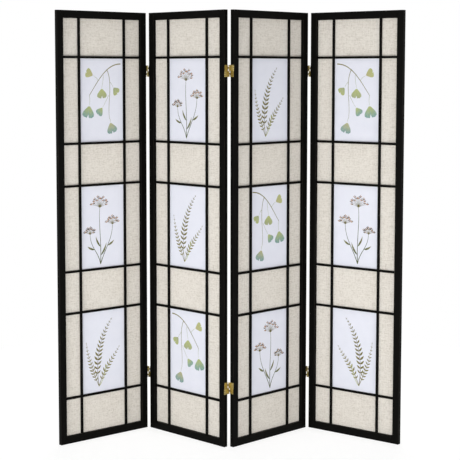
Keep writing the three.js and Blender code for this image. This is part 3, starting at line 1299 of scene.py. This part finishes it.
    def build_lattice(self) -> None:
        """Two upright bars and six cross bars, their ends in the housings."""
        s, number = self.sizes, self.place.number
        uprights, crosses = s.upright_centres, s.cross_centres
        section = (s.bar_width, s.bar_depth, self.bar_arris, s.bar_recess)
        for kind, centres, laps, edge, length, across, along, grain in (
            ("upright", uprights, crosses, s.rail_width, s.panel_height, ALONG, UP, (0.17, 0.41, 2.0)),
            ("cross", crosses, uprights, s.stile_width, s.panel_width, UP, ALONG, (0.13, 0.37, 4.0)),
        ):
            reach = (edge - s.bar_housing, length - edge + s.bar_housing)
            for index, centre in enumerate(centres):
                start = tuple((centre - s.bar_width / 2) * part for part in across)
                shift = (grain[0] * index + grain[1] * number, grain[2])
                member = Member(start, across, along, *section)
                shell = self.bar(member, reach, laps, kind == "upright", shift)
                self.lacquered(f"{kind}_bar_{index + 1}", [shell], "lattice")

    def sheet_shell(
        self, low: Pair, high: Pair, front: float, thickness: float,
        counts: Tuple[int, int], swell: float,
    ) -> Shell:
        """A thin closed sheet that swells to the back.

        Both faces follow swell sin(pi u) sin(pi v) (0.6 + 0.4 cos(7u + 5v + n)), u and v running
        from 0 to 1 over the sheet and n being the panel's number. The front and back faces share
        the rim's rows and columns, so that each row's ring closes round the sheet.

        Args:
            low: Its lowest place along the panel and in height.
            high: Its highest.
            front: Depth of its flat front face.
            thickness: Its thickness.
            counts: Number of faces across and up.
            swell: How far it swells.

        Returns:
            The sheet's shell.
        """
        u, v = np.meshgrid(np.linspace(0, 1, counts[0] + 1), np.linspace(0, 1, counts[1] + 1))
        x = low[0] + u * (high[0] - low[0])
        z = low[1] + v * (high[1] - low[1])
        face = np.stack([x, front + self.swelling(u, v, swell), z], axis=2)
        rear = face + (0.0, thickness, 0.0)
        grid = np.concatenate([face, rear[:, ::-1]], axis=1)
        return skin(grid, ringed(grid[..., (0, 2)]))

    def swelling(self, u: Array, v: Array, swell: float) -> Array:
        """How far a sheet swells to the back at a place from 0 to 1 across and up it."""
        ripple = 0.6 + 0.4 * np.cos(7 * u + 5 * v + self.place.number)
        return swell * np.sin(math.pi * u) * np.sin(math.pi * v) * ripple

    def build_shade(self) -> None:
        """The shade, one cloth from groove to groove, drawn tight and just off flat."""
        s = self.sizes
        edge = s.stile_width - s.shade_entry
        foot = s.rail_width - s.shade_entry
        low, high = (edge, foot), (s.panel_width - edge, s.panel_height - foot)
        node = self.named("shade")
        faces = (26, 90)
        shell = self.sheet_shell(low, high, s.shade_front, s.shade_thickness, faces, self.shade_swell)
        piece = self.shop.make(node + "_cloth", [shell], self.place, Slot.CLOTH, [node])

    def build_prints(self) -> None:
        """The cards behind the tall middle cells, each with its line design."""
        s = self.sizes
        size = (s.middle_cell_width + 2 * s.print_lap, s.tall_cell_height + 2 * s.print_lap)
        botany = Botany()
        faces = (26, 40)
        rows = zip(("lower", "middle", "upper"), self.designs, s.row_centres)
        for row, (level, design, centre) in enumerate(rows):
            node = self.named(f"print_{level}")
            low = (s.panel_width / 2 - size[0] / 2, centre - size[1] / 2)
            high = (low[0] + size[0], low[1] + size[1])
            shell = self.sheet_shell(
                low, high, s.print_front, s.print_thickness, faces, self.card_swell
            )
            card = self.shop.make(node + "_card", [shell], self.place, Slot.CARD, [node])
            turned = (row + self.place.number) % 2 == 0
            strokes = [self.on_card(stroke, low, size) for stroke in botany.drawn(design, turned)]
            ink = self.shop.make(node + "_ink", strokes, self.place, Slot.CARD, finish=self.ink)

    def on_card(self, stroke: Shell, low: Pair, size: Pair) -> Shell:
        """A stroke laid on a card: height is taken off the depth of the card's swelling front."""
        across, up, height = stroke.points.T
        u, v = across / size[0] + 0.5, up / size[1] + 0.5
        depth = self.sizes.print_front + self.swelling(u, v, self.card_swell) - height
        return stroke.carried(np.stack([low[0] + u * size[0], depth, low[1] + v * size[1]], axis=1))


# ---- Hinges ----


@dataclass
class Hinge:
    """One two-way hinge: a screwed leaf on each stile's edge, and two links with their pins.

    Each screw has its depth in the panel, its height from the hinge's middle and its slot's angle.
    """

    left: PanelPlace
    right: PanelPlace
    level: str
    height: float
    folds_forward: bool
    sizes: Sizes
    shop: Workshop
    screw_radius: float = 0.0027
    screw_dome: float = 0.00025
    screw_sink: float = 0.0007
    slot_half: float = 0.0003
    slot_depth: float = 0.0004
    screws: Tuple[Triple, ...] = (
        (0.0052, -0.0185, 0.4),
        (0.0138, -0.0075, 2.1),
        (0.0052, 0.0075, 1.2),
        (0.0138, 0.0185, 2.8),
    )

    def named(self, piece: str) -> str:
        """The name of one of this hinge's pieces or nodes."""
        return f"hinge_{self.left.number}_{self.right.number}_{self.level}_{piece}"

    @property
    def pins(self) -> Tuple[float, float]:
        """Depths of the front pin and the back pin."""
        s = self.sizes
        return (-s.pin_proud, s.thickness + s.pin_proud)

    def build(self) -> None:
        """Builds the two leaves with their screws, and the two links."""
        s = self.sizes
        lower_foot, upper_foot = -s.gap / 2 - s.link_height, s.gap / 2
        self.build_leaf(self.left, "left_leaf", 1.0, s.panel_width, (lower_foot, upper_foot))
        self.build_leaf(self.right, "right_leaf", -1.0, 0.0, (upper_foot, lower_foot))
        at_left = (self.left, s.panel_width + s.pin_offset)
        at_right = (self.right, -s.pin_offset)
        upper, lower = (at_left, at_right) if self.folds_forward else (at_right, at_left)
        self.build_link("upper_link", *upper, self.height + upper_foot)
        self.build_link("lower_link", *lower, self.height + lower_foot)

    def tube(self, centre: Pair, outer: float, inner: float, span: Pair) -> Shell:
        """A knuckle: a tube with its outer ends eased."""
        low, high = span
        ease = 0.00018
        drops = ease * np.array([1.0, 0.3, 0.0])
        radii = np.concatenate([[inner], outer - drops, (outer - drops)[::-1], [inner]])
        heights = np.concatenate([[low], low + drops[::-1], high - drops, [high]])
        return lathe(np.stack([radii, heights], axis=1), centre)

    def pin(self, centre: Pair, radius: float, span: Pair) -> Shell:
        """A pin with low domed ends, closed by a pole at each."""
        low, high = span
        turn = np.linspace(0, QUARTER, 4)
        rise = 0.3 * radius
        foot = np.stack([radius * np.sin(turn), low + rise * (1 - np.cos(turn))], axis=1)
        head = np.stack([radius * np.cos(turn), high - rise * (1 - np.sin(turn))], axis=1)
        return lathe(np.concatenate([foot, head]), centre, 20)

    def screw(self, across: float, up: float, face: float, turn: float) -> Shell:
        """A slotted countersunk screw head.

        Stations along x carry a section of half width (R^2 - x^2)^0.5. Its top is a low dome,
        rise (1 - (x^2 + y^2) / R^2), that drops square by the slot's depth for |x| under half the
        slot's width.

        Args:
            across: Depth of the screw's middle in the panel.
            up: Its height from the hinge's middle.
            face: Place of the leaf's outer face.
            turn: Angle of the slot.

        Returns:
            The head in the hinge's own frame.
        """
        radius, slot = self.screw_radius, self.slot_half
        x = np.array([-1, -0.86, -0.6, -0.3]) * radius
        x = np.concatenate([x, [-slot, -slot, slot, slot], -x[::-1]])[:, None]
        cut = np.zeros_like(x)
        cut[5:7] = self.slot_depth
        half = np.sqrt(np.maximum(radius**2 - x**2, 0.0))
        chords = half * np.linspace(1, -1, 7)
        y = np.concatenate([-half, half, chords], axis=1)
        dome = self.screw_dome * (1 - (x**2 + chords**2) / radius**2) - cut
        top = np.concatenate([np.full((len(x), 2), -self.screw_sink), dome], axis=1)
        cos, sin = math.cos(turn), math.sin(turn)
        grid = np.stack([face + top, across + x * cos - y * sin, up + x * sin + y * cos], axis=2)
        return skin(grid, unrolled(grid, x[:, 0]), 0.6)

    def arm(self, pin: float, heights: Pair) -> Shell:
        """The strap from a leaf's plate to its knuckle, bent through a quarter turn.

        Its middle line is a straight, a quarter circle and a straight. Its sides stand half its
        thickness off that line.
        """
        s = self.sizes
        middle = s.gap + s.leaf_thickness / 2
        half = s.leaf_thickness / 2
        outward = -1.0 if pin < 0 else 1.0
        edge = 0.0 if pin < 0 else s.thickness
        bend, bury_plate, bury_knuckle, ease = 0.0011, 0.0006, 0.0005, 0.00012
        turn = np.linspace(0, QUARTER, 6)
        across, back = bend * (1 - np.cos(turn)), bend * (1 - np.sin(turn))
        start = (middle, edge - outward * bury_plate)
        arc = np.stack([middle + across, pin - outward * back], axis=1)
        end = (s.pin_offset - s.knuckle_radius + bury_knuckle, pin)
        path = np.array([start, *arc, end])
        side = leftward(path) * half
        return slab(np.concatenate([path + side, (path - side)[::-1]]), *heights, ease, (0, 1, 2))

    def build_leaf(self, place: PanelPlace, piece: str, side: float, end: float, feet: Pair) -> None:
        """Builds one leaf: a screwed plate, and a strap and a knuckle at its front and its back.

        Args:
            place: The panel that it is screwed to.
            piece: Its name in the hinge.
            side: 1 at a panel's right end, -1 at its left end.
            end: Place of that end along the panel.
            feet: Feet of the links that its front and its back knuckle turn in.
        """
        s = self.sizes
        half, face = s.hinge_height / 2, s.gap + s.leaf_thickness
        corner, ease = 0.0022, 0.0002
        outline = rounded_rectangle((0.0, -half), (s.thickness, half), corner, 5)
        shells = [slab(outline, s.gap, face, ease, (1, 2, 0))]
        for pin, foot in zip(self.pins, feet):
            low = foot + s.link_height / 2 - s.knuckle_length / 2
            span = (low, low + s.knuckle_length)
            shells.append(self.arm(pin, span))
            shells.append(self.tube((s.pin_offset, pin), s.knuckle_radius, s.pin_radius + s.gap, span))
        screws = [self.screw(*spot, face, turn) for *spot, turn in self.screws]
        move = np.array((end, 0.0, self.height))
        node = self.named(piece)
        for name, parts, nodes in (("_plate", shells, [node]), ("_screws", screws, [])):
            placed = [part.carried(part.points * (side, 1.0, 1.0) + move) for part in parts]
            self.shop.make(node + name, placed, place, Slot.BRASS, nodes)

    def build_link(self, piece: str, place: PanelPlace, along: float, foot: float) -> None:
        """Builds one link: a plate notched for the leaf's knuckle, four knuckles and two pins.

        Args:
            piece: Its name in the hinge.
            place: The panel that it rides on.
            along: Place of its pins along that panel.
            foot: Height of its foot.
        """
        s = self.sizes
        front, back = self.pins
        clear = s.knuckle_radius + 2 * s.gap
        low, high, top = s.knuckle_length, s.link_height - s.knuckle_length, s.link_height
        ease, play = 0.00015, 0.00004
        rising = [(0, 0.0), (0, low), (clear, low), (clear, high), (0, high), (0, top)]
        outline = np.array([
            *((back - inward, up) for inward, up in rising),
            *((front + inward, up) for inward, up in reversed(rising)),
        ])
        shells = [slab(outline, -s.link_thickness / 2, s.link_thickness / 2, ease, (1, 2, 0))]
        for pin in self.pins:
            for span in ((0.0, low), (high, top)):
                shells.append(self.tube((0.0, pin), s.knuckle_radius, s.pin_radius + play, span))
            shells.append(self.pin((0.0, pin), s.pin_radius, (0.0, top)))
        move = np.array((along, 0.0, foot))
        placed = [shell.carried(shell.points + move) for shell in shells]
        self.shop.make(self.named(piece) + "_brass", placed, place, Slot.BRASS, [self.named(piece)])


# ---- Studio ----


@dataclass(frozen=True)
class Softbox:
    """A flat lamp: where it hangs, what it points at, its two sides in metres, its power in watts."""

    name: str
    where: Triple
    target: Triple
    sides: Pair
    power: float


@dataclass(frozen=True)
class Studio:
    """Camera, floor, world and lamps."""

    camera_place: Triple = (-0.0832, -5.4385, 1.5263)
    camera_turn: Triple = (85.0, 0.0, -0.1493)
    lens: float = 102.67
    sensor: float = 36.0
    shift: Pair = (0.0367, -0.0888)
    ambient: float = 0.42
    floor_colour: Colour = (0.86, 0.86, 0.85)
    floor_reach: float = 30.0
    floor_glow: float = 0.24
    shadow_kept: float = 0.35
    shadow_near: float = 0.9
    shadow_far: float = 2.2
    white: Tuple[float, float, float, float] = (1.0, 1.0, 1.0, 1.0)
    lamps: Tuple[Softbox, ...] = (
        Softbox("key", (-2.6, -3.4, 0.6), (0.0, 0.0, 0.7), (2.2, 2.2), 93.0),
        Softbox("fill", (2.8, -3.2, 0.6), (0.0, 0.0, 0.7), (2.2, 2.2), 46.0),
        Softbox("foot", (0.0, -2.6, 0.3), (0.0, 0.0, 0.3), (3.2, 0.5), 28.0),
        Softbox("back", (0.4, 3.6, 1.4), (0.0, 0.0, 0.9), (3.2, 2.2), 95.0),
    )

    def build(self) -> None:
        """Builds all of it."""
        self.place_camera()
        self.light()
        self.lay_floor()
        self.set_world()
        bpy.context.scene.view_settings.view_transform = "Standard"

    def place_camera(self) -> None:
        """The camera at the photograph's viewing angle."""
        data = bpy.data.cameras.new("camera")
        data.lens = self.lens
        data.sensor_width = self.sensor
        data.shift_x, data.shift_y = self.shift
        camera = stood("camera", data)
        camera.location = self.camera_place
        camera.rotation_euler = [math.radians(angle) for angle in self.camera_turn]
        bpy.context.scene.camera = camera

    def light(self) -> None:
        """The lamps, each turned to its target."""
        for box in self.lamps:
            data = bpy.data.lights.new(box.name, "AREA")
            data.shape = "RECTANGLE"
            data.size, data.size_y = box.sides
            data.energy = box.power
            lamp = stood(box.name, data)
            lamp.location = box.where
            aim = Vector(box.target) - Vector(box.where)
            lamp.rotation_euler = aim.to_track_quat("-Z", "Y").to_euler()

    def lay_floor(self) -> None:
        """A wide pale floor that keeps part of the screen's shadow near it and runs out to white.

        The part of its own shade that it keeps falls from all of shadow_kept, shadow_near from
        the middle of the screen, to none at shadow_far.
        """
        mesh = bpy.data.meshes.new("floor")
        low, high = -self.floor_reach, self.floor_reach
        corners = [(low, low, 0), (high, low, 0), (high, high, 0), (low, high, 0)]
        mesh.from_pydata(corners, [], [(0, 1, 2, 3)])
        floor = stood("floor", mesh)
        material = bpy.data.materials.new("studio floor")
        bench = Bench(material)
        matt = bench.node("ShaderNodeBsdfDiffuse", {}, {"Color": (*self.floor_colour, 1.0)})
        spot = bench.node("ShaderNodeTexCoord", output="Object")
        away = bench.node("ShaderNodeVectorMath", {"operation": "LENGTH"}, {0: spot}, output="Value")
        near = ((self.shadow_far - away) * (1 / (self.shadow_far - self.shadow_near))).clipped()
        glow = {"Color": self.white, "Strength": 1.0 + near * self.floor_glow}
        white = bench.node("ShaderNodeEmission", {}, glow)
        factor = bench.seen() * (1 - near * self.shadow_kept)
        shader = bench.node("ShaderNodeMixShader", {}, {0: factor, 1: matt, 2: white})
        bench.surface(shader)
        mesh.materials.append(material)

    def set_world(self) -> None:
        """White where a camera, glossy or transmission ray sees it, and a plain level elsewhere."""
        world = bpy.data.worlds.new("studio")
        bpy.context.scene.world = world
        bench = Bench(world)
        strength = self.ambient + bench.seen() * (1 - self.ambient)
        glow = {"Color": self.white, "Strength": strength}
        bench.surface(bench.node("ShaderNodeBackground", {}, glow))


# ---- The whole screen ----


LAYOUT: Tuple[Tuple[Design, Design, Design], ...] = (
    (Design.FERN, Design.SEEDS, Design.FANS),
    (Design.FANS, Design.FERN, Design.SEEDS),
    (Design.SEEDS, Design.FANS, Design.FERN),
    (Design.FERN, Design.SEEDS, Design.FANS),
)
FOLDS_FORWARD = (True, False, True)


def main() -> None:
    """Builds the studio, the panels and the hinges in order."""
    logging.basicConfig(level=logging.INFO, format="%(name)s: %(message)s")
    sizes = Sizes()
    Studio().build()
    shop = Workshop({
        Slot.LACQUER: BlackLacquer().material(),
        Slot.CLOTH: ShadeCloth().material(),
        Slot.CARD: PrintCard().material(),
        Slot.BRASS: Brass().material(),
    })
    ink = WashedInk().material()
    places = [PanelPlace.found(number, sizes) for number in range(1, 5)]
    for place, designs in zip(places, LAYOUT):
        Panel(place, sizes, shop, ink, designs).build()
    levels = {"top": sizes.panel_height - sizes.hinge_inset, "bottom": sizes.hinge_inset}
    for left, right, forward in zip(places, places[1:], FOLDS_FORWARD):
        for level, height in levels.items():
            Hinge(left, right, level, height, forward, sizes, shop).build()
    log.info("%d pieces made", shop.made)


if __name__ == "__main__":
    main()
